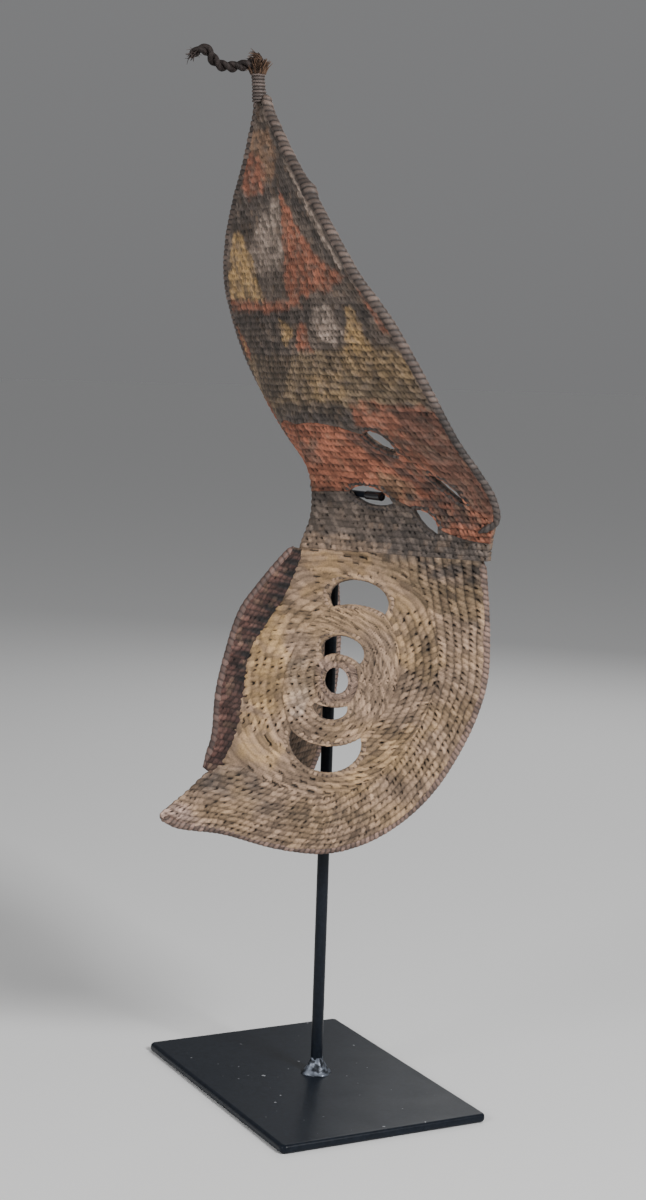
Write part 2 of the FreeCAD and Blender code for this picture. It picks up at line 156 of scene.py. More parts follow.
KEEL_BACK = [
    (87, 222), (74, 226), (66, 252), (62, 277), (58, 298), (45, 322), (29, 347), (23, 368.5),
]
FACE_SEAM, CREST_TOP, WALL = 370, 656, 4
CREST_RIM, JAW_RIM, KEEL_RIM = 3.5, 3.0, 2.5
# How far the two cheeks stay from the middle plane.
MIDDLE_GAP = 0.15


def smooth(table, at):
    """The value at a place along a table, by a cubic with finite-difference slopes."""
    places, values = np.array(table, float).T
    order = np.arange(len(table))
    before, after = np.maximum(order - 1, 0), np.minimum(order + 1, len(table) - 1)
    slopes = (values[after] - values[before]) / (places[after] - places[before])
    at = np.asarray(at, float)
    k = np.clip(np.searchsorted(places, at, side="right") - 1, 0, len(table) - 2)
    step = places[k + 1] - places[k]
    t = (at - places[k]) / step
    inside = (
        (2 * t**3 - 3 * t**2 + 1) * values[k] + (t**3 - 2 * t**2 + t) * step * slopes[k]
        + (3 * t**2 - 2 * t**3) * values[k + 1] + (t**3 - t**2) * step * slopes[k + 1]
    )
    below = values[k] + slopes[k] * (at - places[k])
    above = values[k + 1] + slopes[k + 1] * (at - places[k + 1])
    return np.where(t < 0, below, np.where(t > 1, above, inside))


def front_skin(x, z):
    """The outer skin's points at distances x from the middle plane, at heights z."""
    middle, edge = smooth(MIDDLE, z), smooth(EDGE, z)
    share = np.minimum(1, np.abs(x) / smooth(HALF_WIDTH, z)) ** smooth(FULLNESS, z)
    return np.stack([x, -(middle + (edge - middle) * share), z], axis=-1)


def side_skin(forward, z):
    """The right cheek's outer points, from (forward, height)."""
    middle, edge = smooth(MIDDLE, z), smooth(EDGE, z)
    share = np.maximum((middle - forward) / (middle - edge), 0)
    out = smooth(HALF_WIDTH, z) * share ** (1 / smooth(FULLNESS, z))
    return np.stack([out, -forward, z], axis=-1)


def unit(vectors):
    return vectors / np.maximum(np.linalg.norm(vectors, axis=-1, keepdims=True), 1e-9)


def skin_normal(skin, u, v, reach=0.6):
    """The skin's outward normals, away from the middle plane or forward."""
    across = skin(u + reach, v) - skin(u - reach, v)
    upward = skin(u, v + reach) - skin(u, v - reach)
    normal = unit(np.cross(across, upward))
    return normal if skin is front_skin else -normal


# ---- flat outlines
def arc(start, through, end, count=20):
    """Points of the arc through three points of a plane."""
    (ax, ay), (bx, by), (cx, cy) = start, through, end
    d = 2 * (ax * (by - cy) + bx * (cy - ay) + cx * (ay - by))
    a2, b2, c2 = ax * ax + ay * ay, bx * bx + by * by, cx * cx + cy * cy
    x = (a2 * (by - cy) + b2 * (cy - ay) + c2 * (ay - by)) / d
    y = (a2 * (cx - bx) + b2 * (ax - cx) + c2 * (bx - ax)) / d
    radius = math.hypot(ax - x, ay - y)
    first, via, last = (math.atan2(q - y, p - x) for p, q in (start, through, end))
    turn = (last - first) % (2 * math.pi)
    if (via - first) % (2 * math.pi) > turn:
        turn -= 2 * math.pi
    angles = first + turn * np.linspace(0, 1, count)
    return np.stack([x + radius * np.cos(angles), y + radius * np.sin(angles)], axis=-1)


def crescent(tip_a, tip_b, outer, inner):
    """The two arcs of a crescent, from tip to tip and back."""
    return arc(tip_a, outer, tip_b), arc(tip_b, inner, tip_a)


def closed(*arcs):
    return np.concatenate([line[:-1] for line in arcs])


def ellipse(centre, half_sizes, count=64):
    angles = np.linspace(0, 2 * math.pi, count + 1)
    return np.stack([
        centre[0] + half_sizes[0] * np.cos(angles), centre[1] + half_sizes[1] * np.sin(angles),
    ], axis=-1)


def nearest(line, u, v, loop=False):
    """Distance of each (u, v) to a line of points, and how far along the line that is."""
    best, along = np.full(np.shape(u), np.inf), np.zeros(np.shape(u))
    run = 0.0
    ends = np.concatenate([line[1:], line[:1]]) if loop else line[1:]
    for (au, av), (bu, bv) in zip(line, ends):
        du, dv = bu - au, bv - av
        long = math.hypot(du, dv)
        if long < 1e-9:
            continue
        t = np.clip(((u - au) * du + (v - av) * dv) / long**2, 0, 1)
        gap = np.hypot(u - au - t * du, v - av - t * dv)
        along = np.where(gap < best, run + t * long, along)
        best = np.minimum(best, gap)
        run += long
    return best, along


def outside(loop, u, v):
    """Distance of each (u, v) from a closed outline, below zero inside it."""
    inside = np.zeros(np.shape(u), bool)
    for (au, av), (bu, bv) in zip(loop, np.concatenate([loop[1:], loop[:1]])):
        if av == bv:
            continue
        crosses = (av > v) != (bv > v)
        inside ^= crosses & (u < (bu - au) * (v - av) / (bv - av) + au)
    gap = nearest(loop, u, v, loop=True)[0]
    return np.where(inside, -gap, gap)


def runs(line):
    """How far along a line each of its points is."""
    return np.concatenate([[0], np.cumsum(np.linalg.norm(np.diff(line, axis=0), axis=1))])


def resampled(line, run, at):
    """The points at distances at along a line."""
    return np.stack([np.interp(at, run, column) for column in line.T], axis=-1)


def spline(points, step):
    """A smooth line through points, as evenly spaced points step apart."""
    points = np.array(points, float)
    places = runs(points)
    at = np.linspace(0, places[-1], max(2, round(places[-1] / step)) + 1)
    return np.stack([smooth(list(zip(places, column)), at) for column in points.T], axis=-1)


BROW_SLITS = [
    ((58, 447), (75, 435.5), (70, 448.5), (64, 439.5)),
    ((87, 424), (103, 405), (97.5, 417.5), (93.5, 413.5)),
    ((25, 408.5), (55, 403), (40, 413), (38, 401)),
    ((67, 399.5), (80.5, 384), (78, 397), (73, 389.5)),
]
EYE_CENTRE, EYE_RING, EYE_HOLE = (18.4, 286.5), (11.3, 17.9), (6.2, 9)
RING_GAPS = [
    ((25, 301), (7, 298), (12.5, 316), (16.5, 303.5)),
    ((29.5, 271.5), (12, 270.5), (20.5, 260), (19, 269)),
]
SURROUND_CORNERS = [(16, 333.5), (-8, 331), (4.5, 250), (41, 252)]
SURROUND_MIDDLES = [(4, 336), (-13, 290), (23.5, 243), (43, 295)]
SURROUND_GAPS = [
    ((16, 333.5), (-8, 331), (0.5, 352), (4, 336)),
    ((41, 252), (4.5, 250), (26, 226), (23.5, 243)),
]
surround_loop = closed(*(
    arc(SURROUND_CORNERS[k], SURROUND_MIDDLES[k], SURROUND_CORNERS[(k + 1) % 4]) for k in range(4)
))
ring_loop, hole_loop = ellipse(EYE_CENTRE, EYE_RING)[:-1], ellipse(EYE_CENTRE, EYE_HOLE)[:-1]
jaw_line = spline(JAW, 3)


# ---- pigments
RED, YELLOW, PALE = (0.36, 0.135, 0.08), (0.55, 0.35, 0.155), (0.44, 0.34, 0.275)
OLIVE, OCHRE, GREY = (0.27, 0.19, 0.112), (0.42, 0.265, 0.13), (0.15, 0.115, 0.093)
# The second colour on the next line is a near-black: painted shade in the grooves of the weaves and
# wraps, and one plain strip along the brow seam.
SLATE, BLACK_AND_SHADE, FIBRE = (0.07, 0.057, 0.051), (0.014, 0.011, 0.01), (0.22, 0.145, 0.095)
FACE, CLAY, ROSE = (0.36, 0.243, 0.163), (0.33, 0.185, 0.105), (0.29, 0.195, 0.148)
BEAK_ROSE = (0.50, 0.35, 0.29)
KEEL_RED, KEEL_BLACK = (0.08, 0.036, 0.029), (0.016, 0.012, 0.012)
CORD_GREY, TUFT_BROWN = (0.016, 0.012, 0.011), (0.105, 0.06, 0.037)


def both_sides(pigment, strength, *corners):
    """A patch of pigment and its mirror image."""
    flipped = np.reshape(corners, (-1, 2)) * (-1, 1)
    return [(pigment, strength, *corners), (pigment, strength, *flipped.ravel())]


# Worn patches of pigment, each (colour, strength, then x and height of each corner); a few
# are painted shade or highlight, noted where they stand. Later ones lie over earlier ones.
CREST_PAINT = [
    (OLIVE, 0.8, -120, 500, -60, 494, 20, 499, 112, 503, 121, 470, 60, 460, -40, 455, -121, 470),
    (YELLOW, 0.3, 62, 503, 112, 501, 118, 484, 90, 478, 58, 488),
    (YELLOW, 0.35, 20, 484, 58, 488, 60, 470, 30, 464),
    (SLATE, 0.75, -118, 527, -40, 526, 40, 530, 104, 532, 110, 520, 60, 513, -40, 512, -116, 512),
    (SLATE, 0.7, -50, 504, -8, 506, 12, 500, -12, 470, -40, 462, -80, 470),
    (SLATE, 0.85, -45, 463, 10, 466, 45, 468, 66, 462, 56, 447, 20, 448, -45, 448),
    (
        RED, 0.85, 58, 466, 84, 470, 121, 466, 124, 440, 124, 386, 105, 402, 88, 424, 72, 437,
        58, 447,
    ),
    (RED, 0.85, -58, 466, -121, 466, -124, 440, -124, 386, -105, 402, -88, 424, -72, 437, -58, 447),
    (SLATE, 0.7, -60, 640, 60, 640, 70, 585, 20, 588, -70, 570, -80, 560),
    (CLAY, 0.55, -16, 640, 10, 640, 18, 622, 4, 606, -10, 606, -20, 626),
    (TUFT_BROWN, 0.9, -6, 640, 0, 640, 1, 655, -5, 655),
    (RED, 0.8, -31, 624, -9, 626, -6, 612, -14, 600, -34, 598, -42, 606),
    (PALE, 0.75, -62, 546, -38, 572, -6, 594, 8, 597, 8, 549, -20, 546),
    (GREY, 0.8, -44, 548, 8, 552, 6, 533, -30, 532),
    (YELLOW, 0.95, -94, 532, -30, 531, -40, 556, -55, 578, -68, 572),
    (SLATE, 0.85, 14, 606, 36, 604, 76, 566, 100, 546, 84, 542, 60, 560, 36, 584, 16, 600),
    (RED, 0.95, 9, 604, 14, 596, 34, 572, 58, 556, 86, 545, 62, 536, 5, 532, 6, 560),
    (RED, 0.85, -116, 534, -70, 533, -30, 530, 24, 533, 26, 527, -20, 523, -60, 524, -116, 524),
    # A pale streak just inside the right rim: pale pigment, brightened as a painted highlight where
    # that edge turns to the light.
    (PALE, 0.95, 24, 619, 29, 618, 58, 584, 88, 549, 81, 549, 53, 579),
    (PALE, 0.8, 38, 528, 62, 529, 70, 512, 60, 503, 42, 506),
    (YELLOW, 0.95, -4, 518, 8, 519, 12, 509, 4, 501, -6, 506),
    (RED, 0.95, 22, 518, 29, 517, 35, 499, 13, 499),
    (YELLOW, 0.85, 68, 500, 92, 500, 84, 525, 77, 526),
    (RED, 0.95, 90, 538, 95, 537, 110, 512, 104, 511),
    (SLATE, 0.5, 90, 468, 122, 462, 125, 396, 106, 404, 92, 428),
    (RED, 0.8, -114, 514, -98, 514, -76, 499, -84, 490, -112, 496),
    (YELLOW, 0.7, -104, 510, -96, 510, -88, 498, -98, 497),
]
BAND_PAINT = [
    *both_sides(
        SLATE, 0.75, 52, 451, 70, 440, 86, 426, 102, 408, 113, 396, 104, 390, 88, 404, 72, 416,
        60, 430, 40, 446,
    ),
    (OLIVE, 0.6, 48, 424, 66, 420, 78, 404, 66, 402, 50, 408),
    (SLATE, 0.9, 64, 412, 86, 408, 96, 394, 86, 386, 76, 398, 64, 402),
    (BLACK_AND_SHADE, 0.5, -60, 412, 60, 412, 60, 404, -60, 404),
    (GREY, 0.6, -6, 440, 16, 442, 14, 426, -4, 424),
]
NECK_PAINT = [
    (SLATE, 0.6, -110, 410, 110, 410, 110, 396, 60, 400, -60, 400, -110, 396),
    *both_sides(SLATE, 0.7, 50, 396, 110, 390, 110, 366, 60, 366, 44, 380),
    (FACE, 0.6, -50, 376, -20, 380, 20, 379, 50, 376, 50, 366, -50, 366),
]
# The face's corners are forward and height.
FACE_PAINT = [
    (SLATE, 0.6, -60, 373, 122, 373, 122, 368, 70, 365, 26, 367, -4, 364, -60, 360),
    (OCHRE, 0.8, -5, 371, 30, 371, 22, 352, 30, 338, 14, 346, -4, 356),
    (YELLOW, 0.8, 34, 345, 46, 336, 60, 305, 66, 270, 50, 262, 44, 290, 42, 318),
    (YELLOW, 0.55, 66, 262, 70, 234, 52, 224, 42, 240, 54, 258),
    (YELLOW, 0.45, -10, 352, -30, 330, -38, 300, -28, 286, -16, 300, -10, 330),
    (YELLOW, 0.4, -20, 262, 0, 236, 20, 216, 8, 210, -22, 236, -36, 262),
    (SLATE, 0.85, -60, 371, -8, 371, -10, 356, -26, 338, -52, 326),
    (SLATE, 0.35, -30, 322, -18, 326, -22, 280, -36, 290),
    (GREY, 0.7, 62, 224, 84, 230, 94, 216, 82, 206, 58, 204),
    (SLATE, 0.6, 84, 232, 94, 222, 102, 210, 92, 208, 80, 220),
    (PALE, 0.7, 34, 300, 43, 296, 42, 262, 36, 262, 30, 280),
    (GREY, 0.45, 66, 206, 30, 200, -5, 204, 0, 196, 40, 190, 80, 197),
    (BEAK_ROSE, 0.8, 124, 200, 108, 202, 92, 194, 92, 182, 110, 184, 124, 190),
    # A dark strip on the cheek along the keel's crease: painted shade in that corner.
    (SLATE, 0.6, 36, 372, 50, 352, 64, 334, 70, 300, 63, 292, 54, 318, 38, 344, 26, 356),
]


def painted(base, patches, u, v, seed):
    """The base colour with its worn patches laid over it."""
    colour = np.broadcast_to(np.array(base, float), u.shape + (3,)).copy()
    wobble = 8 * (blotches(seed, u, v, 7, 3) - 0.5)
    worn = blotches(seed + 9, u, v, 4, 2)
    for pigment, strength, *corners in patches:
        gap = outside(np.reshape(corners, (-1, 2)), u, v) + wobble
        cover = strength * (1 - ramp(gap, -2.6, 1.6)) * (0.35 + 0.65 * ramp(worn, 0.2, 0.6))
        colour += cover[..., None] * (np.array(pigment) - colour)
    return colour


# ---- weave
STITCH_ROW, STITCH_LONG, STITCH_RISE = 4.1, 3.6, 2.0


def stitches(row, along, seed, slant=0.75):
    """Half-round stitches from row and stitch counts: their height, tone and pits, 0 to 1."""
    row = row + 0.5 * (blotches(seed + 7, along * 0.9, row * 0.9, 3.1, 2) - 0.5)
    along = along + 1.1 * (blotches(seed + 8, along * 0.9, row * 0.9, 2.3, 2) - 0.5)
    i = np.floor(row)
    across = row - i - 0.5
    along = along + hashed(seed, i) + slant * across
    k = np.floor(along)
    along = along - k - 0.5
    tone = hashed(seed + 1, i, k)
    ridge = np.sqrt(np.clip(1 - (1.9 * across) ** 2, 0, 1))
    bead = np.sqrt(np.clip(1 - (1.85 * along) ** 2, 0, 1))
    height = ridge * (0.2 + 0.8 * bead) * (0.75 + 0.25 * tone)
    corner_u = (along - 0.42) * STITCH_LONG
    corner_v = (across - 0.36 + 0.2 * hashed(seed + 2, i, k)) * STITCH_ROW
    pit = np.exp(-(corner_u**2 + corner_v**2) / 1.1)
    return height, tone, pit * hashed(seed + 3, i, k)


def woven(row, along, fill, pitted, colour, seed):
    """The rise of a painted weave in millimetres, and its colour with painted shade."""
    height, tone, pit = stitches(row, along, seed)
    rough = blotches(seed + 4, along * STITCH_LONG, row * STITCH_ROW, 1.6, 2)
    pit = pit * ramp(pit, 1 - pitted, 1.25 - pitted)
    lifted = height * (1 - fill) + fill * (0.6 + 0.2 * rough + 0.24 * height)
    lifted = np.clip(lifted - pit, -0.6, 1)
    dirt = blotches(seed + 5, along * STITCH_LONG, row * STITCH_ROW, 23, 3)
    # Low places, the grooves between stitches and the pits, are darkened here: painted shade. Tone,
    # rough and dirt vary at random.
    shade = (0.12 + 0.93 * ramp(lifted, 0.05, 0.95)) * (0.55 + 0.75 * tone) * (0.5 + 0.85 * dirt)
    shade *= 0.74 + 0.5 * rough
    i = np.floor(row)
    bare = ramp(hashed(seed + 6, i, np.floor(along + hashed(seed, i))), 0.8, 0.95)
    mixed = colour + 0.35 * bare[..., None] * (np.array(FIBRE) - colour)
    # A near-black laid into the lowest places is more painted shade.
    groove_shade = (1 - ramp(lifted, -0.05, 0.5))[..., None]
    mixed = mixed + 0.85 * groove_shade * (np.array(BLACK_AND_SHADE) - mixed)
    return STITCH_RISE * (lifted - 0.6), mixed * shade[..., None]


# ---- mesh pieces
def make_piece(name, blocks, finish, nodes=(), body="mask"):
    """One object from blocks of (points in mm, faces, colours)."""
    points, faces, colours, start = [], [], [], 0
    for block_points, block_faces, block_colours in blocks:
        points.append(block_points)
        faces += [[start + k for k in face] for face in block_faces]
        colours.append(block_colours)
        start += len(block_points)
    points, colours = np.concatenate(points) * MM, np.concatenate(colours)
    mesh = bpy.data.meshes.new(name)
    mesh.from_pydata(points.tolist(), [], faces)
    layer = mesh.attributes.new("pigment", "FLOAT_COLOR", "POINT")
    opaque = np.c_[colours, np.ones(len(colours))].astype(np.float32)
    layer.data.foreach_set("color", opaque.ravel())
    mesh.shade_smooth()
    mesh.materials.append(finish)
    piece = bpy.data.objects.new(name, mesh)
    bpy.context.scene.collection.objects.link(piece)
    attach(piece, body)
    if nodes:
        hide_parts(*nodes)
    return piece


def mirrored(blocks):
    return [
        (points * (-1, 1, 1), [face[::-1] for face in faces], colours)
        for points, faces, colours in blocks
    ]


def squares(columns, stays, start=0):
    """The faces of a grid's squares that stay, as rows of four point numbers."""
    j, i = np.nonzero(stays)
    at = start + j * columns + i
    return np.stack([at, at + 1, at + columns + 1, at + columns], axis=-1)


def walled_sheet(outer, inner, stays, outer_colour, inner_colour):
    """A closed sheet from two grids of points, with walls where a square has no neighbour."""
    rows, columns = outer.shape[:2]
    count = rows * columns
    faces = [squares(columns, stays), squares(columns, stays, count)[:, ::-1]]
    padded = np.pad(stays, 1)
    for step_j, step_i, first, second in ((-1, 0, 0, 1), (1, 0, 2, 3), (0, -1, 3, 0), (0, 1, 1, 2)):
        beside = padded[1 + step_j : rows + step_j, 1 + step_i : columns + step_i]
        edge = squares(columns, stays & ~beside)
        a, b = edge[:, first], edge[:, second]
        faces.append(np.stack([b, a, a + count, b + count], axis=-1))
    faces = np.concatenate(faces)
    used, renumbered = np.unique(faces, return_inverse=True)
    points = np.concatenate([outer.reshape(-1, 3), inner.reshape(-1, 3)])[used]
    colours = np.concatenate([outer_colour.reshape(-1, 3), inner_colour.reshape(-1, 3)])[used]
    return points, renumbered.reshape(faces.shape).tolist(), colours


def trimmed(u, v, room):
    """Moves the points just outside the outline onto it, and says which squares stay.
    room(u, v) is above zero where the sheet is."""
    kept = room(u, v) > 0
    stays = kept[:-1, :-1] | kept[1:, :-1] | kept[:-1, 1:] | kept[1:, 1:]
    touched = np.zeros(u.shape, bool)
    for j in (0, 1):
        for i in (0, 1):
            touched[j : u.shape[0] - 1 + j, i : u.shape[1] - 1 + i] |= stays
    move = touched & ~kept
    u, v, tiny = u.copy(), v.copy(), 0.05
    for _ in range(3):
        mu, mv = u[move], v[move]
        here = room(mu, mv)
        slope_u = (room(mu + tiny, mv) - room(mu - tiny, mv)) / (2 * tiny)
        slope_v = (room(mu, mv + tiny) - room(mu, mv - tiny)) / (2 * tiny)
        size = np.maximum(slope_u**2 + slope_v**2, 0.25)
        u[move], v[move] = mu - here * slope_u / size, mv - here * slope_v / size
    return u, v, stays


def sheet_block(skin, u, v, room, weave, inner_weave):
    """A woven sheet over the skin: weave(u, v) gives each side's rise and colour."""
    u, v, stays = trimmed(u, v, room)
    points, normals = skin(u, v), skin_normal(skin, u, v)
    rise, colour = weave(u, v)
    inner_rise, inner_colour = inner_weave(u, v)
    outer = points + normals * rise[..., None]
    inner = points - normals * (WALL + 0.5 * inner_rise)[..., None]
    if skin is side_skin:
        for side in (outer, inner):
            side[..., 0] = np.maximum(side[..., 0], MIDDLE_GAP)
    return walled_sheet(outer, inner, stays, colour, inner_colour)


def carried(line):
    """The heading of each point of a line, and two directions across it carried without twist."""
    heading = unit(np.gradient(line, axis=0))
    first = np.empty_like(line)
    side = np.cross(heading[0], (0.3, 0.2, 0.9))
    for k, ahead in enumerate(heading):
        side = unit(side - ahead * np.dot(side, ahead))
        first[k] = side
    return heading, first, np.cross(heading, first)


def tube_faces(rings, sides, loop=False):
    """The faces between rings of points, with a flat cap at either end unless it is a loop."""
    ring, around = np.meshgrid(np.arange(rings - 1), np.arange(sides), indexing="ij")
    beside = (around + 1) % sides
    faces = np.stack([
        ring * sides + around, ring * sides + beside,
        (ring + 1) * sides + beside, (ring + 1) * sides + around,
    ], axis=-1).reshape(-1, 4).tolist()
    if not loop:
        last = (rings - 1) * sides
        faces += [list(range(sides))[::-1], list(range(last, last + sides))]
    return faces


def tube(line, radius, colour, sides, loop=False):
    """A tube whose radius, one number for each ring and side, may swell, with flat ends."""
    line = np.asarray(line, float)
    _, first, second = carried(line)
    angles = 2 * math.pi * np.arange(sides) / sides
    cosines, sines = np.cos(angles)[None, :, None], np.sin(angles)[None, :, None]
    spokes = first[:, None] * cosines + second[:, None] * sines
    radius = np.broadcast_to(radius, (len(line), sides))
    points = (line[:, None] + spokes * radius[..., None]).reshape(-1, 3)
    colours = np.broadcast_to(colour, (len(line), sides, 3)).reshape(-1, 3)
    return points, tube_faces(len(line), sides, loop), colours


def wrapped(
    line, radius, pitch, colour, seed, sides=18, loop=False, lean=1, depth=0.2, gap=BLACK_AND_SHADE, grip=2.1,
):
    """A coil bound with flat strands, one every pitch, that lean round it. The radius and the
    colour are each one value, or one for each point of the line."""
    line = np.asarray(line, float)
    run = runs(line)
    turns = run[:, None] / pitch + lean * np.arange(sides)[None] / sides
    k = np.floor(turns)
    across = turns - k - 0.5
    tone = hashed(seed, np.mod(k, 4096))
    swell = np.sqrt(np.clip(1 - (grip * across) ** 2, 0, 1))
    rise = np.reshape(radius, (-1, 1)) * (1 - depth + depth * swell * (0.75 + 0.35 * tone))
    # The strands darken towards their edges and the gap colour fills the grooves between them:
    # painted shade.
    shade = (0.15 + 0.85 * ramp(swell, 0.15, 0.97)) * (0.45 + 0.85 * tone)
    dirt = blotches(seed + 1, run[:, None] + 0 * turns, turns * 3, 15, 2)
    paint = np.reshape(colour, (-1, 1, 3)) * (shade * (0.55 + 0.85 * dirt))[..., None]
    paint += (0.9 * (1 - ramp(swell, 0.05, 0.75)))[..., None] * (np.array(gap) - paint)
    return tube(line, rise, paint, sides, loop)


def tapered(line, radius, start, end):
    """A radius for each point of a line, which narrows over a length at either end."""
    run = runs(line)
    return radius * (0.35 + 0.65 * ramp(run, -1, start) * ramp(run[-1] - run, -1, end))


# ---- materials
def noise_of(tree, place, scale, detail):
    """A noise texture's value at a place."""
    noise = tree.nodes.new("ShaderNodeTexNoise")
    noise.inputs["Scale"].default_value, noise.inputs["Detail"].default_value = scale, detail
    tree.links.new(place, noise.inputs["Vector"])
    return noise.outputs["Fac"]


def mapped(tree, value, before, after):
    """The value, moved from one range of numbers to another."""
    node = tree.nodes.new("ShaderNodeMapRange")
    node.inputs["From Min"].default_value, node.inputs["From Max"].default_value = before
    node.inputs["To Min"].default_value, node.inputs["To Max"].default_value = after
    tree.links.new(value, node.inputs["Value"])
    return node.outputs["Result"]


def material(
    name, roughness, bump, grain, patchy, colour=None, metallic=0.0, coat=0.0, shine=0.5,
    specks=False,
):
    """A surface with fine grain. Its colour is the mesh's pigment, or the one given, with wear."""
    made = bpy.data.materials.new(name)
    made.use_nodes = True
    tree = made.node_tree
    nodes, links = tree.nodes, tree.links
    shader = nodes["Principled BSDF"]
    shader.inputs["Metallic"].default_value = metallic
    shader.inputs["Coat Weight"].default_value = coat
    shader.inputs["Specular IOR Level"].default_value = shine
    place = nodes.new("ShaderNodeTexCoord").outputs["Object"]
    noise = noise_of(tree, place, grain, 4)
    mix = nodes.new("ShaderNodeMix")
    mix.data_type, mix.blend_type = "RGBA", "MULTIPLY"
    mix.inputs["Factor"].default_value = 1.0
    links.new(mapped(tree, noise, (0.3, 0.7), (1 - patchy, 1 + patchy)), mix.inputs["B"])
    if colour is None:
        pigment = nodes.new("ShaderNodeAttribute")
        pigment.attribute_name = "pigment"
        links.new(pigment.outputs["Color"], mix.inputs["A"])
    else:
        mix.inputs["A"].default_value = (*colour, 1)
    base_colour = mix.outputs["Result"]
    if specks:
        dusted = nodes.new("ShaderNodeMix")
        dusted.data_type = "RGBA"
        dusted.inputs["B"].default_value = SPECK_GREY
        dots = noise_of(tree, place, *SPECK_NOISE)
        links.new(mapped(tree, dots, SPECK_RANGE, (0, 1)), dusted.inputs["Factor"])
        links.new(base_colour, dusted.inputs["A"])
        base_colour = dusted.outputs["Result"]
    links.new(base_colour, shader.inputs["Base Color"])
    patches = noise_of(tree, place, grain / 12, 5)
    links.new(mapped(tree, patches, (0, 1), roughness), shader.inputs["Roughness"])
    relief = nodes.new("ShaderNodeBump")
    relief.inputs["Strength"].default_value = bump
    relief.inputs["Distance"].default_value = GRAIN_DEEP
    links.new(noise, relief.inputs["Height"])
    links.new(relief.outputs["Normal"], shader.inputs["Normal"])
    return made


# The plate's specks of dust: their colour, and a noise's scale, detail and the values that show.
# Every surface's grain is GRAIN_DEEP metres deep at full strength.
SPECK_GREY, SPECK_NOISE, SPECK_RANGE = (0.3, 0.31, 0.33, 1), (230, 1), (0.77, 0.8)
GRAIN_DEEP = 0.0003
STAND_BLACK = (0.010, 0.013, 0.019)

fibre = material("painted_fibre", (0.75, 0.95), bump=0.6, grain=1100, patchy=0.22)
strand = material("wrapped_strand", (0.5, 0.75), bump=0.5, grain=1400, patchy=0.2)
dark_cord = material("dark_cord", (0.55, 0.8), bump=0.5, grain=2200, patchy=0.3, shine=0.2)
tuft_fibre = material("tuft_fibre", (0.5, 0.8), bump=0.3, grain=2500, patchy=0.2, shine=0.3)
weld_metal = material("weld_metal", (0.3, 0.55), bump=0.4, grain=500, metallic=0.6, patchy=0.2)
black = {"bump": 0.08, "grain": 420, "colour": STAND_BLACK, "patchy": 0.25}
stand_paint = material("stand_paint", (0.22, 0.42), shine=0.15, **black)
plate_paint = material("plate_paint", (0.22, 0.42), shine=0.12, specks=True, **black)
sleeve_vinyl = material(
    "sleeve_vinyl", (0.08, 0.2), bump=0.05, grain=600, colour=(0.006, 0.006, 0.008), patchy=0.2,
    coat=0.6,
)


# ---- the cord
# The route's points, as in part.py: from the binding, forward and up to the frayed end.
CORD_ROUTE = [
    (0, -66.5, 681), (0, -74, 678.5), (0, -82, 676.4), (0, -90, 675.8), (0, -96.5, 677.5),
    (0, -101, 685.2), (0, -107, 685.4), (0, -112, 681.5),
]
CORD_DIAMETER, CORD_TWIST, FRAY_WISPS = 7.0, 15.0, 60


def route_line():
    """Points, in mm, of the smooth line that has the cord's route as its control points."""
    curve = bpy.data.curves.new("cord_route", "CURVE")
    curve.dimensions, curve.resolution_u = "3D", 24
    line = curve.splines.new("NURBS")
    line.points.add(len(CORD_ROUTE) - 1)
    for point, place in zip(line.points, CORD_ROUTE):
        point.co = (*(MM * value for value in place), 1)
    line.order_u, line.use_endpoint_u = 3, True
    holder = bpy.data.objects.new("cord_route", curve)
    bpy.context.scene.collection.objects.link(holder)
    bpy.context.view_layer.update()
    mesh = bpy.data.meshes.new_from_object(holder)
    points = np.array([vertex.co[:] for vertex in mesh.vertices]) / MM
    bpy.data.objects.remove(holder)
    return points


def even(line, step):
    """The same line with its points evenly spaced, and how far along it each one is."""
    run = runs(line)
    at = np.linspace(0, run[-1], round(run[-1] / step) + 1)
    return resampled(line, run, at), at


def ply(line, run, start_angle, seed):
    """One of the cord's two plies: a helix round the line, itself a bundle of fibres."""
    _, first, second = carried(line)
    angle = start_angle + 2 * math.pi * run / CORD_TWIST
    out = CORD_DIAMETER * 0.25
    helix = line + out * (first * np.cos(angle)[:, None] + second * np.sin(angle)[:, None])
    sides = 20
    turns = run[:, None] / 2.2 - 2 * np.arange(sides)[None] / sides
    strand_tone = hashed(seed, np.mod(np.floor(turns), 4096))
    groove = np.sqrt(np.clip(1 - (1.9 * (turns - np.floor(turns) - 0.5)) ** 2, 0, 1))
    taper = 0.55 + 0.45 * ramp(run[-1] - run, 0, 7)
    radius = CORD_DIAMETER * 0.27 * (0.9 + 0.1 * groove) * taper[:, None]
    # The strands darken towards their edges where they meet: painted shade.
    paint = np.array(CORD_GREY) * (0.4 + 1.6 * strand_tone * groove + 0.5 * groove)[..., None]
    return tube(helix, radius, paint, sides)


def wisp(root, heading, length, bend, thick, colour, count=9):
    """A thin fibre that curls from its root and tapers to a point."""
    line, here, ahead = [root], np.array(root, float), np.array(heading, float)
    for _ in range(count):
        ahead = unit(ahead + np.array(bend) / count)
        here = here + ahead * length / count
        line.append(here)
    taper = thick * np.linspace(1, 0.25, count + 1)
    return tube(np.array(line), taper[:, None], np.array(colour), 6)


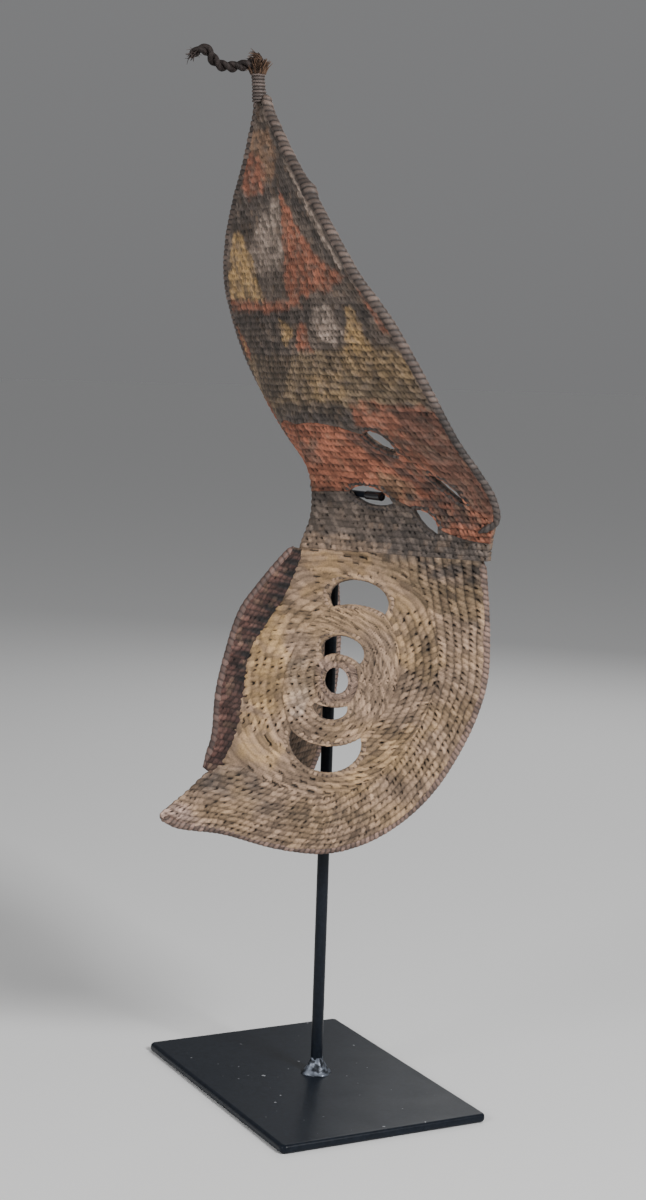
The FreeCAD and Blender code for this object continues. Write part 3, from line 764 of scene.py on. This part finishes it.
def make_cord():
    path, run = even(route_line(), 0.35)
    blocks = [ply(path, run, angle, 50 + k) for k, angle in enumerate((0.4, 0.4 + math.pi))]
    rope = make_piece("crest_cord_plies", blocks, dark_cord, ["crest_cord"])
    draw = np.random.default_rng(7)
    end, ahead = path[-1], unit(path[-1] - path[-6])
    fray = []
    for _ in range(FRAY_WISPS):
        root = path[-16] + (end - path[-16]) * draw.random() + draw.normal(0, 1.0, 3)
        heading = unit(ahead + draw.normal(0, 0.5, 3))
        bend = (draw.normal(0, 0.8), draw.normal(0, 0.9), draw.normal(0.2, 1.1))
        colour = np.array(CORD_GREY) * (0.9 + 6.5 * draw.random() ** 2)
        fray.append(wisp(root, heading, 2.5 + 4.5 * draw.random(), bend, 0.32, colour))
    tip = make_piece("cord_fray", fray, dark_cord)
    tuple(MM * value for value in CORD_ROUTE[0])


make_cord()


# ---- edges of the openings
def edge_bead(skin, line, loop, seed, colour, ring=False):
    """The rolled edge of an opening: a wrapped coil along one of its arcs, set in the wall."""
    radius = WALL / 2 + 0.25
    ahead = unit(np.gradient(line, axis=0))
    side = np.stack([-ahead[:, 1], ahead[:, 0]], axis=-1)
    middle = line[len(line) // 2] + side[len(line) // 2]
    if outside(loop, middle[None, 0], middle[None, 1])[0] < 0:
        side = -side
    path = line + side * (radius - 0.5)
    u, v = path[:, 0], path[:, 1]
    points = skin(u, v) - skin_normal(skin, u, v) * (WALL / 2 - 0.3)
    if skin is side_skin:
        points[:, 0] = np.maximum(points[:, 0], radius)
    return wrapped(even(points, 0.6)[0], radius, 3.1, colour, seed, sides=14, loop=ring, depth=0.16)


# ---- front panels
def front_grid(low, high, rows, columns):
    """Distances from the middle and heights of a grid between two seams."""
    share = np.linspace(-1, 1, columns + 1)[None] * np.ones((rows + 1, 1))
    seam_x = np.abs(share) * smooth(HALF_WIDTH, 400)
    part = np.linspace(0, 1, rows + 1)[:, None]
    z = low(seam_x) + (high(seam_x) - low(seam_x)) * part
    return share * smooth(HALF_WIDTH, z), z


def slit_loops():
    """Each brow slit on both sides, as its two arcs."""
    for slit in BROW_SLITS:
        arcs = crescent(*slit)
        yield arcs
        yield tuple(line * (-1, 1) for line in arcs)


def clear_of_slits(u, v):
    room = np.full(np.shape(u), 50.0)
    for arcs in slit_loops():
        room = np.minimum(room, outside(closed(*arcs), u, v))
    return room


def level_arc(x, z):
    """How far round the bowed front a point is from the middle."""
    bow = smooth(MIDDLE, z) - smooth(EDGE, z)
    half = smooth(HALF_WIDTH, z)
    return x * (1 + 0.5 * (bow / half) ** 2 * np.minimum(1, np.abs(x) / half))


def crest_weave(x, z):
    row = z / STITCH_ROW
    fill = 0.12 + 0.42 * ramp(z + 0.15 * x, 505, 545) + 0.25 * (1 - ramp(z, 452, 470))
    fill = np.clip(fill + 0.25 * (blotches(3, x, z, 20) - 0.5), 0, 0.9)
    colour = painted(GREY, CREST_PAINT, x, z, 21)
    pitted = 0.8 - 0.2 * ramp(z, 560, 620)
    return woven(row, level_arc(x, z) / STITCH_LONG, fill, pitted, colour, 31)


def band_weave(colour, patches, fill, pitted, seed):
    def weave(x, z):
        paint = painted(colour, patches, x, z, seed)
        row, along = z / STITCH_ROW, level_arc(x, z) / STITCH_LONG
        rise, paint = woven(row, along, fill, pitted, paint, seed + 5)
        return rise * ramp(z - FACE_SEAM, -1, 2.5), paint
    return weave


def inside_weave(u, v):
    colour = painted(FIBRE, [], u, v, 77) * 0.8
    return woven(v / STITCH_ROW, u / STITCH_LONG, 0.1 * np.ones_like(u), 0.5, colour, 78)


def seam(table, shift):
    return lambda x: smooth(table, x) + shift


def flat(height):
    return lambda x: height + 0 * x


def make_front_panels():
    crest_low = seam(CREST_SEAM, 0.1)
    brow_low = seam(BROW_SEAM, 0.1)
    # Each panel's lower and upper seams, its grid's rows and columns, and its weave.
    panels = {
        "crest_panel": (crest_low, flat(CREST_TOP), 260, 300, crest_weave),
        "forehead_band": (
            brow_low, seam(CREST_SEAM, -0.1), 72, 330,
            band_weave(RED, BAND_PAINT, 0.3, 0.85, 41),
        ),
        "neck_band": (
            flat(FACE_SEAM - 0.1), seam(BROW_SEAM, -0.1), 56, 330,
            band_weave(GREY, NECK_PAINT, 0.4, 0.7, 61),
        ),
    }
    beads = {name: [] for name in panels}
    for k, arcs in enumerate(slit_loops()):
        upper, lower = ("crest_panel", "forehead_band") if k < 4 else ("forehead_band", "neck_band")
        for owner, line in ((upper, arcs[0]), (lower, arcs[1])):
            beads[owner].append(edge_bead(front_skin, line, closed(*arcs), 90 + k, SLATE))
    for name, (low, high, rows, columns, weave) in panels.items():
        x, z = front_grid(low, high, rows, columns)
        block = sheet_block(front_skin, x, z, clear_of_slits, weave, inside_weave)
        make_piece(f"{name}_weave", [block] + beads[name], fibre, [name])


make_front_panels()


# ---- cheeks and eyes
# The coils' spacing, how far a cheek runs from the middle to its edge, and the grids' steps.
FACE_ROW, CHEEK_ACROSS = 3.9, 175
CHEEK_STEP, SURROUND_STEP, RING_STEP = 0.75, 0.6, 0.5


def face_rows(forward, z):
    """Row and stitch counts: coils round the eye, and coils along the jaw near the edge."""
    round_eye, eye_run = nearest(surround_loop, forward, z, loop=True)
    inner = outside(surround_loop, forward, z) < 0
    ring_gap = outside(ring_loop, forward, z)
    angle = np.arctan2(z - EYE_CENTRE[1], forward - EYE_CENTRE[0])
    from_jaw, jaw_run = nearest(jaw_line, forward, z)
    by_jaw = from_jaw < 1.15 * round_eye
    row = np.where(by_jaw, from_jaw / FACE_ROW, 200 + round_eye / FACE_ROW)
    along = np.where(by_jaw, jaw_run / STITCH_LONG, eye_run / STITCH_LONG)
    row = np.where(inner, 400 + ring_gap / FACE_ROW, row)
    along = np.where(inner, angle * (20 + np.abs(ring_gap)) / STITCH_LONG, along)
    return row, along


def face_fill(forward, z):
    """How far the pigment hides the weave: most between the eye and the keel."""
    front = ramp(forward, 28, 44) * (1 - ramp(z, 330, 352)) * ramp(z, 214, 236)
    top = ramp(z, 318, 340) * ramp(forward, -34, -12) * 0.8
    ring = 1 - ramp(outside(surround_loop, forward, z), -2, 8)
    fill = 0.08 + 0.48 * np.maximum(np.maximum(front, top), 0.75 * ring)
    return np.clip(fill + 0.3 * (blotches(5, forward, z, 16) - 0.5), 0, 0.85)


def face_weave(base, seed):
    def weave(forward, z):
        row, along = face_rows(forward, z)
        colour = painted(base, FACE_PAINT, forward, z, seed)
        warm = ramp(blotches(seed + 2, forward, z, 18, 3), 0.35, 0.7)
        colour += 0.35 * warm[..., None] * (np.array(YELLOW) * 0.8 - colour)
        rise, colour = woven(row, along, face_fill(forward, z), 0.72, colour, seed + 3)
        return rise * ramp(FACE_SEAM - z, -1, 2.5), colour
    return weave


def cheek_grid(low, high, share_low, share_high, step):
    """(forward, height) of a grid on the right cheek, even along its surface."""
    rows = round((high - low) / step)
    columns = round((share_high - share_low) * CHEEK_ACROSS / step)
    z = np.linspace(low, high, rows + 1)[:, None] * np.ones((1, columns + 1))
    share = np.linspace(share_low, share_high, columns + 1)[None]
    middle, edge = smooth(MIDDLE, z), smooth(EDGE, z)
    return middle + (edge - middle) * share, z


def window_grid(loop, step):
    """A plain (forward, height) grid, back to front, that covers an outline."""
    low, high = loop.min(axis=0) - 1, loop.max(axis=0) + 1
    forward = np.linspace(high[0], low[0], round((high[0] - low[0]) / step) + 1)
    z = np.linspace(low[1], high[1], round((high[1] - low[1]) / step) + 1)
    return np.meshgrid(forward, z)


def cheek_room(forward, z):
    """Above zero on the cheek: inside the jaw line, outside the eye's surround and gaps."""
    beyond = np.array([(125, 196), (128, 200), (128, 372), (-60, 372)])
    outline = np.concatenate([jaw_line, beyond])
    room = -outside(outline, forward, z)
    room = np.minimum(room, outside(surround_loop, forward, z))
    for gap in SURROUND_GAPS:
        room = np.minimum(room, outside(closed(*crescent(*gap)), forward, z))
    return room


def surround_room(forward, z):
    room = np.minimum(-outside(surround_loop, forward, z), outside(ring_loop, forward, z))
    for gap in RING_GAPS:
        room = np.minimum(room, outside(closed(*crescent(*gap)), forward, z))
    return room


def ring_room(forward, z):
    return np.minimum(-outside(ring_loop, forward, z), outside(hole_loop, forward, z))


def make_cheeks():
    # Each sheet's grid, room and base colour, and the sheets that each gap lies between.
    sheets = {
        "cheek": (cheek_grid(173, FACE_SEAM - 0.1, 0.004, 1.04, CHEEK_STEP), cheek_room, FACE),
        "eye_surround": (window_grid(surround_loop, SURROUND_STEP), surround_room, FACE),
        "eye_ring": (window_grid(ring_loop, RING_STEP), ring_room, ROSE),
    }
    pairs = [(gap, "cheek", "eye_surround") for gap in SURROUND_GAPS]
    pairs += [(gap, "eye_surround", "eye_ring") for gap in RING_GAPS]
    hole = ellipse(EYE_CENTRE, EYE_HOLE)
    for side, seed in (("right", 101), ("left", 201)):
        blocks = {
            name: [sheet_block(side_skin, *grid, room, face_weave(base, seed), inside_weave)]
            for name, (grid, room, base) in sheets.items()
        }
        for gap, *owners in pairs:
            arcs = crescent(*gap)
            for owner, line in zip(owners, arcs):
                blocks[owner].append(edge_bead(side_skin, line, closed(*arcs), seed + 7, FACE))
        blocks["eye_ring"].append(edge_bead(side_skin, hole, hole_loop, seed + 8, ROSE, ring=True))
        turned = mirrored if side == "left" else list
        for name, parts in blocks.items():
            make_piece(f"{name}_{side}_weave", turned(parts), fibre, [f"{name}_{side}"])


make_cheeks()


# ---- nose keel
KEEL_ROW, KEEL_SLOPE, KEEL_HALF = 4.3, 0.25, 2.1
KEEL_ROSY = (0.19, 0.10, 0.08)


def make_keel():
    """The flat flap between the crease and its rim, woven on both faces."""
    rows, columns = 230, 60
    across = np.linspace(0, 1, columns + 1)[None]
    down = np.linspace(0, 1, rows + 1)
    lines = (spline(points, 2) for points in (KEEL_LINE, KEEL_BACK[::-1]))
    front, back = (resampled(line, runs(line), down * runs(line)[-1])[::-1] for line in lines)
    plane = front[:, None] + (back - front)[:, None] * across[..., None]
    forward, z = plane[..., 0], plane[..., 1]
    row, stitch = (z - KEEL_SLOPE * forward) / KEEL_ROW, forward / STITCH_LONG
    low_part = 1 - ramp(z, 250, 300)
    stripe = ramp(np.abs(np.mod(row, 2) - 1), 0.35, 0.75) * (1 - low_part) * ramp(z, 262, 290)
    # Darker towards the crease, where the keel meets the cheek: painted shade in that corner.
    crease = 1 - ramp(np.linalg.norm(plane - back[:, None], axis=-1), 3, 17)
    colour = np.broadcast_to(np.array(KEEL_RED), forward.shape + (3,)).copy()
    rosy = ramp(blotches(81, forward, z, 6), 0.4, 0.75)[..., None]
    colour += 0.6 * rosy * (np.array(KEEL_ROSY) - colour)
    # Alternate rows are striped dark, a painted pattern, deepened near the crease by that painted
    # shade.
    stripes_and_crease_shade = np.clip(0.85 * stripe * (0.35 + 0.65 * crease) + 0.55 * crease, 0, 1)[..., None]
    colour += stripes_and_crease_shade * (np.array(KEEL_BLACK) - colour)
    faces, paints = [], []
    for sign, seed in ((1, 83), (-1, 84)):
        rise, paint = woven(row, stitch, 0.12 * np.ones_like(z), 0.4, colour, seed)
        faces.append(np.stack([sign * (KEEL_HALF + 0.8 * rise), -forward, z], axis=-1))
        paints.append(paint)
    block = walled_sheet(*faces, np.ones((rows, columns), bool), *paints)
    make_piece("nose_keel_weave", [block], fibre, ["nose_keel"])


make_keel()


# ---- wrapped rims
def crest_rim_line():
    points = [(110, 45, 388.5)]
    for z in (396, 410, 425, 445, 470, 495, 520, 545, 570, 595, 620, 640, 650, CREST_TOP + 4):
        points.append((float(smooth(HALF_WIDTH, z)), 2 - float(smooth(EDGE, z)), z))
    return spline(points, 0.55)


def jaw_rim_line():
    points = []
    for forward, z in JAW:
        out = float(side_skin(forward, z)[0]) - WALL / 2
        points.append((math.hypot(max(0, out), JAW_RIM + MIDDLE_GAP), WALL / 2 - forward, z))
    return spline(points, 0.55)


KEEL_PALE = (0.14, 0.085, 0.07)
RIM_PALE, RIM_ROSE, RIM_DARK = (0.115, 0.082, 0.067), (0.24, 0.155, 0.122), (0.075, 0.057, 0.05)
# A lump on the right crest rim.
KNOT_AT, KNOT_LONG, KNOT_RISE = 598, 4.5, 0.5


def make_rims():
    crest, jaw = crest_rim_line(), jaw_rim_line()
    keel = spline([(0, -forward, z) for forward, z in KEEL_LINE], 0.5)
    bare = ramp(crest[:, 2], 440, 500)
    crest_radius = tapered(crest, CREST_RIM, 6, 3) * (0.72 + 0.28 * bare)
    crest_colour = np.array(RIM_DARK) + bare[:, None] * (np.array(RIM_PALE) - np.array(RIM_DARK))
    for side, sign in (("right", 1), ("left", -1)):
        flip = np.array((sign, 1, 1))
        knot = KNOT_RISE * np.exp(-(((crest[:, 2] - KNOT_AT) / KNOT_LONG) ** 2)) * (side == "right")
        crest_block = wrapped(
            crest * flip, crest_radius * (1 + knot), 4.2, crest_colour, 301, lean=2 * sign,
            depth=0.26,
        )
        jaw_block = wrapped(
            jaw * flip, tapered(jaw, JAW_RIM, 5, 3), 3.4, RIM_ROSE, 311, lean=2 * sign,
        )
        for node, block in ((f"crest_rim_{side}", crest_block), (f"jaw_rim_{side}", jaw_block)):
            make_piece(f"{node}_coil", [block], strand, [node])
    # The keel rim's gap colour, dark in the grooves between its wraps, is painted shade.
    block = wrapped(
        keel, tapered(keel, KEEL_RIM, 5, 12), 4.6, KEEL_PALE, 321, sides=20, depth=0.18,
        gap=(0.03, 0.018, 0.015), grip=2.0,
    )
    make_piece("keel_rim_coil", [block], strand, ["keel_rim"])


make_rims()


# ---- tip
BINDING_RADIUS, BINDING_LONG, TUFT_LEAST, TUFT_MORE = 5.5, 20, 6.15, 4.2
BINDING_BROWN, TUFT_WISPS, COVER_WISPS = (0.10, 0.075, 0.065), 230, 120


def tuft_wisp(draw, root, lean, bend, least, more, thick, count):
    """A wisp of a random shade, and of a random length from least to least + more."""
    colour = np.array(TUFT_BROWN) * (0.25 + 1.3 * draw.random() ** 2)
    return wisp(root, lean, least + more * draw.random(), bend, thick, colour, count)


def make_tip():
    low = np.array([0, -float(smooth(MIDDLE, CREST_TOP)), CREST_TOP + 0.3])
    heading = unit(np.array([0, -0.1, 1.0]))
    rings, sides = 120, 32
    run = np.linspace(0, BINDING_LONG, rings)
    line = low + heading * run[:, None]
    waist = 1 - 0.1 * ramp(run, 2, 9) + 0.1 * ramp(run, 13, 19)
    core = wrapped(line, BINDING_RADIUS * 0.9, 2.1, BINDING_BROWN, 401, sides=sides)
    points = core[0].reshape(rings, sides, 3)
    points = line[:, None] + (points - line[:, None]) * waist[:, None, None]
    make_piece(
        "tip_binding_thread", [(points.reshape(-1, 3), core[1], core[2])], strand,
        ["tip_binding"],
    )
    draw = np.random.default_rng(11)
    top = low + heading * (BINDING_LONG - 3)
    blocks = []
    for _ in range(TUFT_WISPS):
        angle, share = 2 * math.pi * draw.random(), math.sqrt(draw.random())
        out = np.array([math.cos(angle), math.sin(angle), 0])
        root = top + out * share * 4.6
        lean = unit(heading + out * share * (0.15 + 0.3 * draw.random()))
        bend = out * share * 0.6 + draw.normal(0, 0.25, 3)
        blocks.append(tuft_wisp(draw, root, lean, bend, TUFT_LEAST, TUFT_MORE, 0.55, 6))
    # A second lot lies over the cord's root and hides it.
    over = np.array([0, -1.0, 0.55])
    for _ in range(COVER_WISPS):
        angle = 2 * math.pi * draw.random()
        out = np.array([math.cos(angle), 0.35 * math.sin(angle), math.sin(angle)])
        root = np.array(CORD_ROUTE[0]) + out * 3.3 + (0, 1.2 - 2.0 * draw.random(), 0)
        lean = unit(over + 0.35 * out + draw.normal(0, 0.25, 3))
        bend = np.array([0, -0.5, -0.9]) + draw.normal(0, 0.35, 3)
        blocks.append(tuft_wisp(draw, root, lean, bend, 3.5, 4.5, 0.5, 7))
    make_piece("tip_tuft_fibres", blocks, tuft_fibre, ["tip_tuft"])


make_tip()


# ---- stand
ROD_RADIUS = 4


def make_foot_weld():
    """A lumpy, scuffed fillet of weld metal round the rod's foot."""
    low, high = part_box("foot_weld")
    rise, reach = (high[2] - low[2]) / MM, (high[0] - low[0]) / 2 / MM
    rings, sides = 26, 56
    neck = ROD_RADIUS + 0.1
    up = np.linspace(0, 1, rings)[:, None]
    angle = 2 * math.pi * np.arange(sides)[None] / sides
    lump = blotches(71, 12 * np.cos(angle) + 20 * up, 12 * np.sin(angle), 4.5, 3) - 0.5
    square = 1 + 0.08 * np.cos(4 * angle)
    profile = neck + (reach - neck) * (1 - up) ** 1.5
    radius = np.minimum(profile * (1 + 0.22 * lump * (1 - 0.7 * up)) * square, reach + 0.4)
    points = np.stack([
        radius * np.cos(angle), radius * np.sin(angle), low[2] / MM + rise * up + 0 * angle,
    ], axis=-1)
    scuff = ramp(blotches(72, 5 * angle, up * 20 + 0 * angle, 3.2, 3), 0.42, 0.7)[..., None]
    colour = np.array((0.02, 0.024, 0.032)) + scuff * np.array((0.17, 0.19, 0.23))
    block = (points.reshape(-1, 3), tube_faces(rings, sides), colour.reshape(-1, 3))
    make_piece("foot_weld_bead", [block], weld_metal, ["foot_weld"], "stand")


def finish_nodes():
    for finish, nodes in (
        (plate_paint, ["base_plate"]), (stand_paint, ["stand_rod", "support_bar", "bar_weld"]),
        (sleeve_vinyl, ["bar_sleeve_right", "bar_sleeve_left"]),
    ):
        for node in nodes:
            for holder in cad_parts[node].material_slots:
                holder.material = finish


make_foot_weld()
finish_nodes()


# ---- stage and light
def make_stage():
    bpy.ops.mesh.primitive_plane_add(size=60, location=(0, 0, cad_box[0][2]))
    floor = bpy.context.object
    floor.name = "floor"
    pale = bpy.data.materials.new("floor")
    pale.use_nodes = True
    shader = pale.node_tree.nodes["Principled BSDF"]
    shader.inputs["Base Color"].default_value = (0.84, 0.84, 0.835, 1)
    shader.inputs["Roughness"].default_value = 0.8
    floor.data.materials.append(pale)


def make_light(name, place, aim, power, size):
    data = bpy.data.lights.new(name, "AREA")
    data.energy, data.size = power, size
    light = bpy.data.objects.new(name, data)
    bpy.context.scene.collection.objects.link(light)
    light.location = place
    light.rotation_euler = (Vector(aim) - Vector(place)).to_track_quat("-Z", "Y").to_euler()


# The glow at the horizon is what the far floor gives back, so that the two meet unseen.
SKY_LOW, SKY_HIGH = 0.225, 0.27


def make_lights():
    aim = (0, 0, 0.35)
    make_light("key", (1.6, 0.35, 1.35), aim, 40, 0.5)
    make_light("front", (0.5, -1.7, 1.0), aim, 13, 0.6)
    make_light("back", (-1.2, 1.2, 1.2), aim, 8, 1.0)
    world = bpy.data.worlds.new("world")
    world.use_nodes = True
    tree = world.node_tree
    sky = tree.nodes["Background"]
    sky.inputs["Color"].default_value = (0.86, 0.865, 0.88, 1)
    place = tree.nodes.new("ShaderNodeTexCoord")
    parts = tree.nodes.new("ShaderNodeSeparateXYZ")
    tree.links.new(place.outputs["Generated"], parts.inputs["Vector"])
    glow = mapped(tree, parts.outputs["Z"], (0, 0.5), (SKY_LOW, SKY_HIGH))
    tree.links.new(glow, sky.inputs["Strength"])
    bpy.context.scene.world = world


make_stage()
make_lights()
